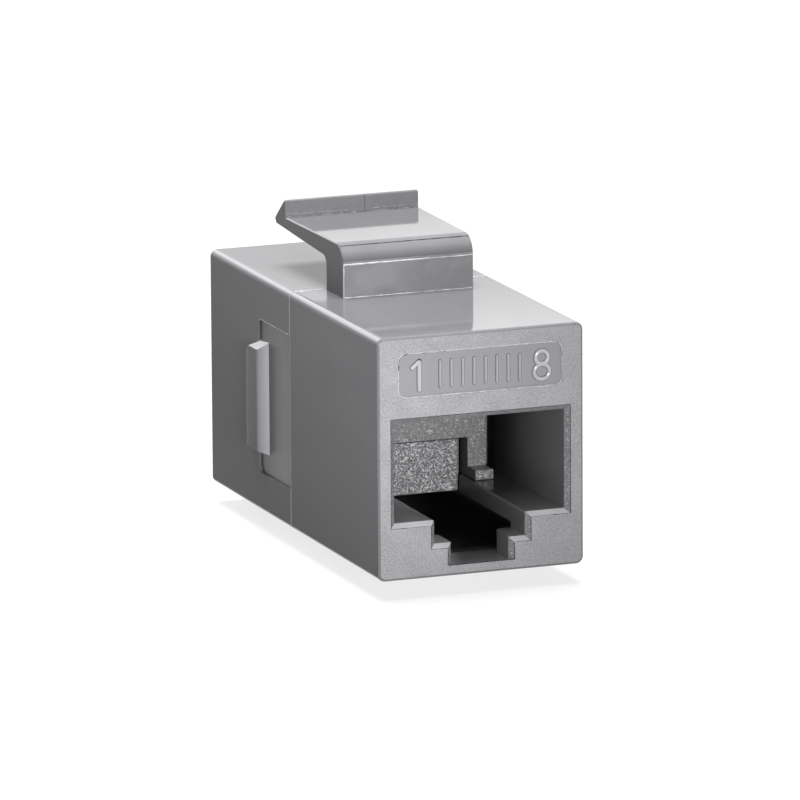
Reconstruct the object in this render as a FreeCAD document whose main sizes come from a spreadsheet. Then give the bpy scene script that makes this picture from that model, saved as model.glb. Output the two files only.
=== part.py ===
import FreeCAD, Part
import Sketcher
import math
import os

# Inline coupler that joins two modular network plugs end to end, and snaps into a wall plate.
# Each half is drawn in its own frame: Y runs in from the face of that half, Z up from its
# underside, X across. The rear half is the same drawing turned half a turn about Z.

os.makedirs("parts", exist_ok=True)
doc = FreeCAD.newDocument("Coupler")

# Driving sizes in millimetres

sizes = [
    ("sideWall", 1.25, "side wall beside the socket"),
    ("bodyHeight", 16.3, "outside height of both housings"),
    ("bodyLength", 32.0, "face to face"),
    ("seamPast", 0.4, "seam between the housings, past the middle of the body"),
    ("longEdgeRadius", 0.5, "rounding of the four long edges"),
    ("faceEdgeRadius", 0.2, "rounding round each face"),
    ("seamBevel", 0.08, "bevel that shows as the seam line"),
    ("topWall", 1.1, "roof of each housing"),
    ("faceWall", 2.4, "face wall above the socket"),
    ("stepWall", 2.85, "face wall beside the key way"),
    ("portWidth", 12.0, "socket width"),
    ("portTop", 10.5, "socket ceiling above the underside"),
    ("ledgeTop", 3.8, "ledges that carry the plug"),
    ("ledgeThickness", 1.2, "thickness of the ledges"),
    ("ledgeGap", 0.5, "end of the ledges in front of the insert's panel"),
    ("ledgeRounding", 0.15, "rounding along the inner edge of the ledges"),
    ("midStepWidth", 6.4, "width between the ledges"),
    ("midStepTop", 2.2, "height of the middle steps"),
    ("lowStepWidth", 4.06, "width of the key way at the bottom"),
    ("lipTop", 0.7, "floor of the key way at the face"),
    ("lipDepth", 3.35, "depth of that floor"),
    ("floorWall", 0.55, "floor of each housing behind it"),
    ("stepRounding", 0.5, "rounding at the back of the middle steps"),
    ("portBevel", 0.36, "lead-in bevel round the socket"),
    ("shelfWidth", 0.4, "shelf each side that carries the insert"),
    ("labelWidth", 11.56, "width of the sunk label field"),
    ("labelRise", 1.68, "label field above the socket"),
    ("labelDrop", 1.12, "top of the label field below the roof"),
    ("labelCorner", 0.5, "corner radius of the label field"),
    ("labelDepth", 0.15, "depth of the label field"),
    ("lugHeight", 1.3, "fixed lug below the underside"),
    ("lugWidth", 9.0, "width of the fixed lug"),
    ("lugFront", 9.9, "front face to the lug"),
    ("lugCrest", 1.2, "flat length under the lug"),
    ("lugSlope", 1.3, "length of its sloping back"),
    ("lugRounding", 0.2, "rounding of the lug's lower edges"),
    ("latchWidth", 9.3, "width of the spring latch at its root"),
    ("lipWidth", 9.66, "width of the latch at its free end"),
    ("latchRoot", 3.1, "length of the latch's root"),
    ("latchBack", 0.2, "latch's root in front of the seam"),
    ("latchRise", 3.55, "latch plate above the roof"),
    ("latchBend", 1.3, "outer bend of the latch"),
    ("latchInnerBend", 0.6, "inner bend of the latch"),
    ("latchThickness", 1.33, "latch plate at its root"),
    ("latchTipThickness", 0.75, "latch plate at its free end"),
    ("lipReach", 10.5, "front of the latch to the front of its lip"),
    ("lipHeight", 1.16, "height of the lip"),
    ("lipCrest", 0.35, "flat length on top of the lip"),
    ("lipLength", 2.15, "length of the lip"),
    ("lipRounding", 0.12, "rounding of the lip's corners"),
    ("tipRounding", 0.25, "rounding of the latch's tip"),
    ("latchEdge", 0.08, "bevel along the sides of the latch"),
    ("armThickness", 0.5, "snap arm inside each side wall"),
    ("armBottom", 5.2, "lower edge of the snap arms"),
    ("armDrop", 0.5, "snap arms below the socket's ceiling"),
    ("armShort", 0.75, "end of the arms short of the ridge's far end"),
    ("hookHeight", 0.68, "how far each hook stands out"),
    ("hookLength", 1.25, "length of the hook along the arm"),
    ("hookCrest", 0.3, "flat length on top of the hook"),
    ("recessFloor", 0.17, "depth of the sunk field on each side"),
    ("recessLength", 6.2, "length of that field from the seam"),
    ("recessBottom", 2.75, "lower edge of that field"),
    ("recessTop", 13.35, "upper edge of that field"),
    ("recessCorner", 0.6, "corner radius of that field"),
    ("ridgeStart", 4.53, "seam to the ridge over the hook"),
    ("ridgeLength", 2.97, "length of the ridge"),
    ("ridgeHeight", 0.5, "how far the ridge stands out"),
    ("ridgeSlope", 0.54, "length of its sloping front"),
    ("ridgeFall", 0.8, "length of the strip that falls away at its back"),
    ("ridgeDrop", 0.11, "how far that strip falls"),
    ("ridgeBottom", 4.4, "lower end of the ridge"),
    ("ridgeTop", 11.4, "upper end of the ridge"),
    ("ridgeToe", 0.23, "run-out at its lower end"),
    ("ridgeRamp", 0.52, "bevel at its upper end"),
    ("ridgeCutLength", 1.8, "length of the corner cut off above its back"),
    ("ridgeCutHeight", 0.92, "height of that corner"),
    ("ridgeRounding", 0.3, "rounding along the top of its sloping front"),
    ("fitGap", 0.05, "clearance between pieces that slide together"),
    ("insertSide", 0.95, "room each side of the insert's posts"),
    ("insertPlate", 1.8, "thickness of the insert's top plate"),
    ("plateGap", 1.6, "room between the top plate and the board"),
    ("bandFront", 11.4, "front of the insert's band and posts"),
    ("bandBottom", 6.5, "lower edge of the band"),
    ("panelFront", 12.7, "front of the insert's sunk panel"),
    ("panelWidth", 7.0, "width of the sunk panel"),
    ("panelBottom", 2.6, "lower edge of the sunk panel"),
    ("panelRounding", 0.35, "rounding of the panel's side edges"),
    ("postBottom", 4.5, "lower end of the posts"),
    ("postRounding", 0.4, "rounding of the posts' outer edges"),
    ("footWidth", 1.34, "width of the feet on the ledges"),
    ("footFront", 10.0, "front of the feet"),
    ("boardThickness", 1.6, "circuit board"),
    ("boardGap", 0.15, "clearance round the board"),
    ("boardBottom", 3.0, "lower edge of the board"),
    ("boardCorner", 0.5, "corner radius of the board"),
    ("rowDrop", 0.62, "upper row of holes below the inside of the roof"),
    ("holeDiameter", 0.75, "plated holes in the board"),
    ("contactCount", 8, "contacts in each socket"),
    ("contactPitch", 1.016, "distance between contacts"),
    ("contactWidth", 0.46, "width of a contact strip"),
    ("contactThickness", 0.3, "thickness of a contact strip"),
    ("contactSide", 0.05, "clearance each side in the comb"),
    ("contactFront", 3.1, "depth of the upright stretch of a contact"),
    ("kneeDrop", 0.2, "lower corner of a contact below the socket's ceiling"),
    ("contactInto", 0.5, "free end of a contact past the front of the comb"),
    ("contactTipHeight", 8.35, "height of the free end of a contact"),
    ("contactBend", 0.45, "bend radius of a contact"),
    ("jogLead", 0.6, "start of the step of every other contact in front of the plate's end"),
    ("jogLength", 0.9, "length of that step"),
    ("jogBend", 0.3, "bend radius of that step"),
    ("tailLength", 0.7, "tail past the board"),
    ("combDepth", 0.8, "depth of the rear comb"),
    ("combRoom", 0.3, "room in the rear comb below a contact's free end"),
    ("combFront", 1.45, "length of the comb at the plate's front edge"),
    ("solderRadius", 0.48, "foot of a solder joint"),
    ("solderTip", 0.3, "top of a solder joint"),
    ("solderHeight", 0.5, "height of a solder joint"),
]

sheet = doc.addObject("Spreadsheet::Sheet", "Sizes")
for row, (alias, size, meaning) in enumerate(sizes, start=1):
    sheet.set(f"A{row}", meaning)
    sheet.set(f"B{row}", str(size))
    sheet.setAlias(f"B{row}", alias)
doc.recompute()


# Places that several pieces share, as expressions on those names
bodyWidth = "(portWidth + 2 * sideWall)"
seam = "(bodyLength / 2 + seamPast)"
rearDepth = "(bodyLength / 2 - seamPast)"
roof = "(bodyHeight - topWall)"
boardFace = "(bodyLength / 2 - boardThickness / 2)"
plateEnd = f"({boardFace} - plateGap)"
ledgeEnd = "(panelFront - ledgeGap)"
insertWidth = "(portWidth - 2 * insertSide)"
armTop = "(portTop - armDrop)"
armReach = "(ridgeStart + ridgeLength - armShort)"
latchFront = f"({seam} - latchBack - latchRoot)"
lowRow = "(portTop + insertPlate - contactThickness / 2)"
highRow = f"({roof} - rowDrop)"


# Value of an expression on the sheet's names
def value(expression):
    return float(sheet.evalExpression(str(expression)))


# The same expression as another object of the document reads it
def bound(expression):
    words = []
    word = ""
    for letter in str(expression) + " ":
        if letter.isalnum():
            word += letter
            continue
        named = word[:1].isalpha() and letter != "("
        words.append(f"Sizes.{word}" if named else word)
        words.append(letter)
        word = ""
    return "".join(words).strip()


# Body with its own label, placed for the front or the rear half
def makeBody(label, rear=False, middle=False):
    body = doc.addObject("PartDesign::Body", label)
    body.Label = label
    if rear:
        body.Placement = FreeCAD.Placement(FreeCAD.Vector(), FreeCAD.Rotation(180, 0, 0))
    if not middle:
        body.setExpression("Placement.Base.y", bound("bodyLength / 2" if rear else "-bodyLength / 2"))
    body.setExpression("Placement.Base.z", bound("lugHeight"))
    return body


def originPiece(body, role):
    return [feature for feature in body.Origin.OriginFeatures if feature.Role == role][0]


# Sketch on one of the body's own planes; the XZ plane looks along -Y, so its shift is negative
def makeSketch(body, name, plane, shift="0"):
    sketch = body.newObject("Sketcher::SketchObject", name)
    sketch.AttachmentSupport = (originPiece(body, plane), "")
    sketch.MapMode = "FlatFace"
    sketch.setExpression("AttachmentOffset.Base.z", bound(f"-({shift})" if plane == "XZ_Plane" else shift))
    return sketch


def bindPoint(sketch, piece, end, across, up):
    for kind, expression in (("DistanceX", across), ("DistanceY", up)):
        constraint = sketch.addConstraint(Sketcher.Constraint(kind, -1, 1, piece, end, value(expression)))
        sketch.setExpression(f"Constraints[{constraint}]", bound(expression))


# Outline through corners (across, up) or (across, up, radius), each an expression
def drawOutline(sketch, corners, closed=True):
    spots = [FreeCAD.Vector(value(corner[0]), value(corner[1]), 0) for corner in corners]
    count = len(corners)
    inner = range(count) if closed else range(1, count - 1)
    trims = [0.0] * count
    turns = [0.0] * count
    for index in inner:
        if len(corners[index]) == 3:
            before = (spots[index] - spots[index - 1]).normalize()
            after = (spots[(index + 1) % count] - spots[index]).normalize()
            turns[index] = math.atan2(before.cross(after).z, before.dot(after))
            trims[index] = value(corners[index][2]) * math.tan(abs(turns[index]) / 2)
    lines = []
    for index in range(count if closed else count - 1):
        start = spots[index]
        end = spots[(index + 1) % count]
        along = (end - start).normalize()
        line = Part.LineSegment(start + along * trims[index], end - along * trims[(index + 1) % count])
        lines.append(sketch.addGeometry(line, False))
    for index, corner in enumerate(corners):
        last = lines[index - 1]
        line = lines[index % len(lines)]
        if index not in inner:
            ending = (lines[0], 1) if index == 0 else (lines[-1], 2)
            bindPoint(sketch, *ending, corner[0], corner[1])
            continue
        if not trims[index]:
            sketch.addConstraint(Sketcher.Constraint("Coincident", last, 2, line, 1))
            bindPoint(sketch, line, 1, corner[0], corner[1])
            continue
        radius = value(corner[2])
        side = math.copysign(1, turns[index])
        before = (spots[index] - spots[index - 1]).normalize()
        normal = FreeCAD.Vector(-before.y * side, before.x * side, 0)
        centre = spots[index] - before * trims[index] + normal * radius
        first = math.atan2(-normal.y, -normal.x)
        ends = (first, first + turns[index])
        circle = Part.Circle(centre, FreeCAD.Vector(0, 0, 1), radius)
        arc = sketch.addGeometry(Part.ArcOfCircle(circle, min(ends), max(ends)), False)
        near = 1 if side > 0 else 2
        sketch.addConstraint(Sketcher.Constraint("Tangent", last, 2, arc, near))
        sketch.addConstraint(Sketcher.Constraint("Tangent", arc, 3 - near, line, 1))
        constraint = sketch.addConstraint(Sketcher.Constraint("Radius", arc, radius))
        sketch.setExpression(f"Constraints[{constraint}]", bound(corner[2]))
        point = sketch.addGeometry(Part.Point(spots[index]), True)
        bindPoint(sketch, point, 1, corner[0], corner[1])
        sketch.addConstraint(Sketcher.Constraint("PointOnObject", point, 1, last))
        sketch.addConstraint(Sketcher.Constraint("PointOnObject", point, 1, line))


def drawRectangle(sketch, left, bottom, right, top, radius=None):
    ending = () if radius is None else (radius,)
    corners = [(left, bottom), (right, bottom), (right, top), (left, top)]
    drawOutline(sketch, [corner + ending for corner in corners])


def drawCircle(sketch, across, up, diameter):
    centre = FreeCAD.Vector(value(across), value(up), 0)
    circle = sketch.addGeometry(Part.Circle(centre, FreeCAD.Vector(0, 0, 1), value(diameter) / 2), False)
    constraint = sketch.addConstraint(Sketcher.Constraint("Diameter", circle, value(diameter)))
    sketch.setExpression(f"Constraints[{constraint}]", bound(diameter))
    bindPoint(sketch, circle, 3, across, up)


def mirrorCorners(corners):
    return corners + [(f"-({corner[0]})",) + corner[1:] for corner in reversed(corners)]


# Adds the sketch's outline to the body, away from the viewer unless it is centred on the sketch
def pad(body, name, sketch, length, inward=False, centred=False):
    feature = body.newObject("PartDesign::Pad", name)
    feature.Profile = sketch
    feature.setExpression("Length", bound(length))
    feature.Reversed = inward
    feature.Midplane = centred
    doc.recompute()
    return feature


# Cuts the sketch's outline out of the body, and makes sure that it cut something
def pocket(body, name, sketch, length, outward=False):
    before = body.Shape.Volume
    feature = body.newObject("PartDesign::Pocket", name)
    feature.Profile = sketch
    feature.setExpression("Length", bound(length))
    feature.Reversed = outward
    doc.recompute()
    if body.Shape.Volume >= before:
        raise ValueError(f"{name} cuts nothing")
    return feature


# Fillet or chamfer on the edges that the test picks by their middle and direction
def dress(body, kind, name, size, test):
    doc.recompute()
    base = body.Tip
    picked = []
    for number, edge in enumerate(base.Shape.Edges, start=1):
        start = edge.valueAt(edge.FirstParameter)
        end = edge.valueAt(edge.LastParameter)
        middle = edge.valueAt((edge.FirstParameter + edge.LastParameter) / 2)
        if test(middle, end - start):
            picked.append(f"Edge{number}")
    if not picked:
        raise ValueError(f"{name} finds no edge")
    feature = body.newObject(f"PartDesign::{kind}", name)
    feature.Base = (base, picked)
    feature.setExpression("Radius" if kind == "Fillet" else "Size", bound(size))
    doc.recompute()
    return feature


def near(one, other):
    return abs(one - other) < 0.001


def mirror(body, name, originals):
    feature = body.newObject("PartDesign::Mirrored", name)
    feature.Originals = originals
    feature.MirrorPlane = (originPiece(body, "YZ_Plane"), [""])
    body.Tip = feature
    doc.recompute()
    return feature


def repeatAcross(body, name, originals):
    feature = body.newObject("PartDesign::LinearPattern", name)
    feature.Originals = originals
    feature.Direction = (originPiece(body, "X_Axis"), [""])
    feature.setExpression("Length", bound("contactPitch * (contactCount - 1)"))
    feature.setExpression("Occurrences", bound("contactCount"))
    body.Tip = feature
    doc.recompute()
    return feature


# Housing shell: rounded block, stepped socket with its bevel, ledges and the room behind
def makeShell(body, prefix, depth):
    block = makeSketch(body, prefix + "BlockOutline", "XZ_Plane")
    drawRectangle(block, f"-{bodyWidth} / 2", "0", f"{bodyWidth} / 2", "bodyHeight", "longEdgeRadius")
    pad(body, prefix + "Block", block, depth, inward=True)
    dress(body, "Fillet", prefix + "FaceEdge", "faceEdgeRadius", lambda middle, way: near(middle.y, 0))
    atSeam = value(depth)
    dress(body, "Chamfer", prefix + "SeamEdge", "seamBevel", lambda middle, way: near(middle.y, atSeam))

    socket = makeSketch(body, prefix + "SocketOutline", "XZ_Plane")
    right = [
        ("lowStepWidth / 2", "lipTop"),
        ("lowStepWidth / 2", "midStepTop"),
        ("midStepWidth / 2", "midStepTop"),
        ("midStepWidth / 2", "ledgeTop"),
        ("portWidth / 2", "ledgeTop"),
        ("portWidth / 2", "portTop"),
    ]
    drawOutline(socket, mirrorCorners(right))
    pocket(body, prefix + "Socket", socket, "lipDepth")

    def onSocketEdge(middle, way):
        inside = abs(middle.x) < value("portWidth / 2") + 0.01 and middle.z < value("portTop") + 0.01
        return near(middle.y, 0) and inside and middle.z > value("lipTop") + 0.01
    dress(body, "Chamfer", prefix + "SocketBevel", "portBevel", onSocketEdge)

    plugRoom = makeSketch(body, prefix + "PlugRoomOutline", "XZ_Plane", "stepWall")
    right = [
        ("portWidth / 2", "lipTop"),
        ("portWidth / 2", "ledgeTop - ledgeThickness"),
        ("midStepWidth / 2", "ledgeTop - ledgeThickness"),
        ("midStepWidth / 2", "ledgeTop"),
        ("portWidth / 2", "ledgeTop"),
        ("portWidth / 2", "portTop"),
    ]
    drawOutline(plugRoom, mirrorCorners(right))
    pocket(body, prefix + "PlugRoom", plugRoom, f"{ledgeEnd} - stepWall")

    backRoom = makeSketch(body, prefix + "BackRoomOutline", "XZ_Plane", ledgeEnd)
    drawRectangle(backRoom, "-portWidth / 2", "lipTop", "portWidth / 2", "portTop")
    pocket(body, prefix + "BackRoom", backRoom, f"{depth} - {ledgeEnd}")

    insertRoom = makeSketch(body, prefix + "InsertRoomOutline", "XZ_Plane", "faceWall")
    half = "portWidth / 2 + shelfWidth"
    drawRectangle(insertRoom, f"-({half})", "portTop", half, roof)
    pocket(body, prefix + "InsertRoom", insertRoom, f"{depth} - faceWall")

    floor = makeSketch(body, prefix + "FloorOutline", "XZ_Plane", "lipDepth")
    drawRectangle(floor, "-portWidth / 2", "floorWall", "portWidth / 2", "lipTop")
    pocket(body, prefix + "Floor", floor, f"{depth} - lipDepth")

    def onStepCorner(middle, way):
        upright = near(way.x, 0) and near(way.y, 0) and near(middle.y, value("stepWall"))
        return upright and near(abs(middle.x), value("lowStepWidth / 2"))
    dress(body, "Fillet", prefix + "StepCorner", "stepRounding", onStepCorner)

    def onLedgeEdge(middle, way):
        along = near(way.x, 0) and near(way.z, 0) and abs(way.y) > 1 and near(middle.z, value("ledgeTop"))
        return along and near(abs(middle.x), value("midStepWidth / 2"))
    dress(body, "Fillet", prefix + "LedgeEdge", "ledgeRounding", onLedgeEdge)


# Front housing: label field, fixed lug below, spring latch above, two snap arms inside
def makeFrontHousing():
    body = makeBody("front_housing")
    makeShell(body, "Front", seam)

    label = makeSketch(body, "LabelOutline", "XZ_Plane")
    top = "bodyHeight - labelDrop"
    drawRectangle(label, "-labelWidth / 2", "portTop + labelRise", "labelWidth / 2", top, "labelCorner")
    pocket(body, "Label", label, "labelDepth")

    lug = makeSketch(body, "LugOutline", "YZ_Plane")
    drawOutline(lug, [
        ("lugFront", "floorWall / 2"),
        ("lugFront", "-lugHeight", "lugRounding"),
        ("lugFront + lugCrest", "-lugHeight", "lugRounding"),
        ("lugFront + lugCrest + lugSlope", "0"),
        ("lugFront + lugCrest + lugSlope", "floorWall / 2"),
    ])
    pad(body, "Lug", lug, "lugWidth", centred=True)

    latch = makeSketch(body, "LatchOutline", "YZ_Plane")
    plateTop = "bodyHeight + latchRise"
    tipTop = f"{latchFront} + lipReach + lipLength"
    drawOutline(latch, [
        (latchFront, "bodyHeight - topWall / 2"),
        (latchFront, plateTop, "latchBend"),
        (f"{latchFront} + lipReach", plateTop),
        (f"{latchFront} + lipReach", f"{plateTop} + lipHeight", "lipRounding"),
        (f"{latchFront} + lipReach + lipCrest", f"{plateTop} + lipHeight", "lipRounding"),
        (tipTop, f"{plateTop} - latchTipThickness / 2", "tipRounding"),
        (f"{tipTop} - latchTipThickness / 2", f"{plateTop} - latchTipThickness", "lipRounding"),
        (f"{latchFront} + latchRoot", f"{plateTop} - latchThickness", "latchInnerBend"),
        (f"{latchFront} + latchRoot", "bodyHeight - topWall / 2"),
    ])
    pad(body, "Latch", latch, "lipWidth", centred=True)

    flare = makeSketch(body, "FlareOutline", "XY_Plane", "bodyHeight")
    drawOutline(flare, [
        ("latchWidth / 2", latchFront),
        ("lipWidth / 2", latchFront),
        ("lipWidth / 2", tipTop),
    ])
    flareCut = pocket(body, "Flare", flare, "latchRise + 2 * lipHeight", outward=True)
    mirror(body, "FlarePair", [flareCut])

    def onLatchSide(middle, way):
        along = abs(way.x) < value("lipWidth - latchWidth")
        outside = abs(middle.x) > value("latchWidth / 2") - 0.001
        return along and outside and middle.z > value("bodyHeight") + 0.01
    dress(body, "Chamfer", "LatchEdge", "latchEdge", onLatchSide)

    arm = makeSketch(body, "ArmOutline", "XY_Plane", "armBottom")
    inner = "portWidth / 2"
    outer = "portWidth / 2 + armThickness"
    end = f"{seam} + {armReach}"
    drawOutline(arm, [
        (inner, f"{seam} - armThickness"),
        (outer, f"{seam} - armThickness"),
        (outer, f"{end} - hookLength"),
        (f"{outer} + hookHeight", f"{end} - hookLength"),
        (f"{outer} + hookHeight", f"{end} - hookLength + hookCrest"),
        (outer, end),
        (inner, end),
    ])
    armPad = pad(body, "Arm", arm, f"{armTop} - armBottom")
    mirror(body, "ArmPair", [armPad])
    return body


# Rear housing: sunk field and ridge on each side, channel and pocket for the snap arms inside
def makeRearHousing():
    body = makeBody("rear_housing", rear=True)
    depth = rearDepth
    makeShell(body, "Rear", depth)
    side = f"{bodyWidth} / 2"

    field = makeSketch(body, "FieldOutline", "YZ_Plane", side)
    back = f"{depth} - recessLength"
    drawOutline(field, [
        (back, "recessBottom", "recessCorner"),
        (f"{depth} + recessCorner", "recessBottom"),
        (f"{depth} + recessCorner", "recessTop"),
        (back, "recessTop", "recessCorner"),
    ])
    fieldCut = pocket(body, "Field", field, "recessFloor")

    ridgeEnd = f"{depth} - ridgeStart - ridgeLength"
    ridge = makeSketch(body, "RidgeOutline", "XZ_Plane", ridgeEnd)
    base = f"{side} - recessFloor"
    drawOutline(ridge, [
        (f"{base} - recessFloor", "ridgeBottom - ridgeToe"),
        (base, "ridgeBottom - ridgeToe"),
        (f"{side} + ridgeHeight", "ridgeBottom"),
        (f"{side} + ridgeHeight", "ridgeTop"),
        (base, "ridgeTop + ridgeRamp"),
        (f"{base} - recessFloor", "ridgeTop + ridgeRamp"),
    ])
    ridgePad = pad(body, "Ridge", ridge, "ridgeLength", inward=True)
    ridgeFront = f"{depth} - ridgeStart"
    crest = f"{side} + ridgeHeight"
    flanks = makeSketch(body, "RidgeSlopes", "XY_Plane", "ridgeBottom - ridgeToe")
    drawOutline(flanks, [
        (base, ridgeFront),
        (crest, ridgeFront),
        (crest, f"{ridgeFront} - ridgeSlope"),
    ])
    drawOutline(flanks, [
        (crest, f"{ridgeEnd} + ridgeFall"),
        (crest, ridgeEnd),
        (f"{crest} - ridgeDrop", ridgeEnd),
    ])
    ridgeRise = "ridgeTop + ridgeRamp - ridgeBottom + ridgeToe"
    slopeCut = pocket(body, "RidgeSlope", flanks, ridgeRise, outward=True)
    corner = makeSketch(body, "RidgeCorner", "YZ_Plane", side)
    drawOutline(corner, [
        (f"{ridgeEnd} + ridgeCutLength", "ridgeTop + ridgeRamp"),
        (ridgeEnd, "ridgeTop + ridgeRamp"),
        (ridgeEnd, "ridgeTop + ridgeRamp - ridgeCutHeight"),
    ])
    cornerCut = pocket(body, "RidgeCornerCut", corner, "2 * ridgeHeight", outward=True)

    channel = makeSketch(body, "ChannelOutline", "XY_Plane", "armBottom - fitGap")
    outer = "portWidth / 2 + armThickness + fitGap"
    hookStart = f"{depth} - {armReach} + hookLength + fitGap"
    hookEnd = f"{depth} - {armReach} - fitGap"
    drawOutline(channel, [
        ("portWidth / 2 - fitGap", f"{depth} + fitGap"),
        (outer, f"{depth} + fitGap"),
        (outer, hookStart),
        (f"{outer} + hookHeight + fitGap", hookStart),
        (f"{outer} + hookHeight + fitGap", hookEnd),
        ("portWidth / 2 - fitGap", hookEnd),
    ])
    channelCut = pocket(body, "Channel", channel, f"{armTop} - armBottom + 2 * fitGap", outward=True)
    mirror(body, "SidePair", [fieldCut, ridgePad, slopeCut, cornerCut, channelCut])

    def onRidgeEdge(middle, way):
        outside = near(abs(middle.x), value(crest)) and near(middle.y, value(f"{ridgeFront} - ridgeSlope"))
        return outside and near(way.x, 0) and near(way.y, 0)
    dress(body, "Fillet", "RidgeEdge", "ridgeRounding", onRidgeEdge)
    return body


# Insert that carries the contacts: top plate with grooves, band with a comb, posts, panel and feet
def makeInsert(label, rear):
    body = makeBody(label, rear)
    prefix = "RearInsert" if rear else "FrontInsert"
    back = boardFace
    plateHalf = "portWidth / 2 + shelfWidth - fitGap"
    plateTop = "portTop + insertPlate"

    plate = makeSketch(body, prefix + "PlateOutline", "XY_Plane", "portTop")
    drawRectangle(plate, f"-({plateHalf})", "faceWall + fitGap", plateHalf, plateEnd)
    pad(body, prefix + "Plate", plate, "insertPlate")

    band = makeSketch(body, prefix + "BandOutline", "XY_Plane", "bandBottom")
    half = f"{insertWidth} / 2"
    drawOutline(band, [
        (f"-({half})", "bandFront", "postRounding"),
        (half, "bandFront", "postRounding"),
        (half, back),
        (f"-({half})", back),
    ])
    pad(body, prefix + "Band", band, "portTop - bandBottom")

    panel = makeSketch(body, prefix + "PanelOutline", "XY_Plane", "panelBottom")
    drawOutline(panel, [
        ("-panelWidth / 2", "panelFront", "panelRounding"),
        ("panelWidth / 2", "panelFront", "panelRounding"),
        ("panelWidth / 2", back),
        ("-panelWidth / 2", back),
    ])
    pad(body, prefix + "Panel", panel, "portTop - panelBottom")

    post = makeSketch(body, prefix + "PostOutline", "XY_Plane", "postBottom")
    drawOutline(post, [
        ("panelWidth / 2", "bandFront"),
        (half, "bandFront", "postRounding"),
        (half, back),
        ("panelWidth / 2", back),
    ])
    postPad = pad(body, prefix + "Post", post, "portTop - postBottom")

    foot = makeSketch(body, prefix + "FootOutline", "XY_Plane", "ledgeTop")
    drawRectangle(foot, "panelWidth / 2", "footFront", "panelWidth / 2 + footWidth", back)
    footPad = pad(body, prefix + "Foot", foot, "postBottom - ledgeTop")
    mirror(body, prefix + "Pair", [postPad, footPad])

    slotMiddle = "-contactPitch * (contactCount - 1) / 2"
    left = f"{slotMiddle} - contactWidth / 2 - contactSide"
    right = f"{slotMiddle} + contactWidth / 2 + contactSide"
    groove = makeSketch(body, prefix + "GrooveOutline", "XY_Plane", plateTop)
    drawRectangle(groove, left, "faceWall", right, f"{plateEnd} + fitGap")
    grooveCut = pocket(body, prefix + "Groove", groove, "contactThickness")

    comb = makeSketch(body, prefix + "CombOutline", "XY_Plane", plateTop)
    drawRectangle(comb, left, "faceWall", right, "faceWall + combFront")
    combCut = pocket(body, prefix + "Comb", comb, "insertPlate + fitGap")

    rearComb = makeSketch(body, prefix + "RearCombOutline", "XZ_Plane", "bandFront - fitGap")
    drawRectangle(rearComb, left, "contactTipHeight - combRoom", right, "portTop")
    rearCombCut = pocket(body, prefix + "RearComb", rearComb, "combDepth + fitGap")
    repeatAcross(body, prefix + "Slots", [grooveCut, combCut, rearCombCut])
    return body


# Circuit board between the inserts, with a hole for each tail
def makeBoard():
    body = makeBody("circuit_board", middle=True)
    board = makeSketch(body, "BoardOutline", "XZ_Plane", "-boardThickness / 2")
    half = "(portWidth / 2 - boardGap)"
    drawRectangle(board, f"-{half}", "boardBottom", half, f"{roof} - boardGap", "boardCorner")
    pad(body, "Board", board, "boardThickness", inward=True)

    holes = makeSketch(body, "TailHoleOutline", "XZ_Plane", "-boardThickness / 2")
    for height in (lowRow, highRow):
        drawCircle(holes, "-contactPitch * (contactCount - 1) / 2", height, "holeDiameter")
    tailHoles = pocket(body, "TailHoles", holes, "boardThickness")
    repeatAcross(body, "TailHoleRows", [tailHoles])
    return body


# Contact: one flat strip bent along a path in the YZ plane; every other one steps up to the high row
def makeContact(label, number, rear):
    body = makeBody(label, rear)
    prefix = ("RearContact" if rear else "FrontContact") + str(number)
    across = f"contactPitch * ({number} - (contactCount + 1) / 2)"
    tailEnd = "bodyLength / 2 + boardThickness / 2 + tailLength"
    path = [(tailEnd, lowRow)]
    if number % 2 == 0:
        path = [
            (tailEnd, highRow),
            (f"{plateEnd} - jogLead + jogLength", highRow, "jogBend"),
            (f"{plateEnd} - jogLead", lowRow, "jogBend"),
        ]
    path += [
        ("contactFront", lowRow, "contactBend"),
        ("contactFront", "portTop - kneeDrop", "contactBend"),
        ("bandFront + contactInto", "contactTipHeight"),
    ]
    route = makeSketch(body, prefix + "Path", "YZ_Plane", across)
    drawOutline(route, path, closed=False)
    section = makeSketch(body, prefix + "Section", "XZ_Plane", tailEnd)
    half = "contactWidth / 2"
    low = f"{path[0][1]} - contactThickness / 2"
    high = f"{path[0][1]} + contactThickness / 2"
    drawRectangle(section, f"{across} - {half}", low, f"{across} + {half}", high)
    doc.recompute()
    strip = body.newObject("PartDesign::AdditivePipe", prefix + "Strip")
    strip.Profile = section
    strip.Spine = (route, [])
    doc.recompute()
    return body


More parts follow.
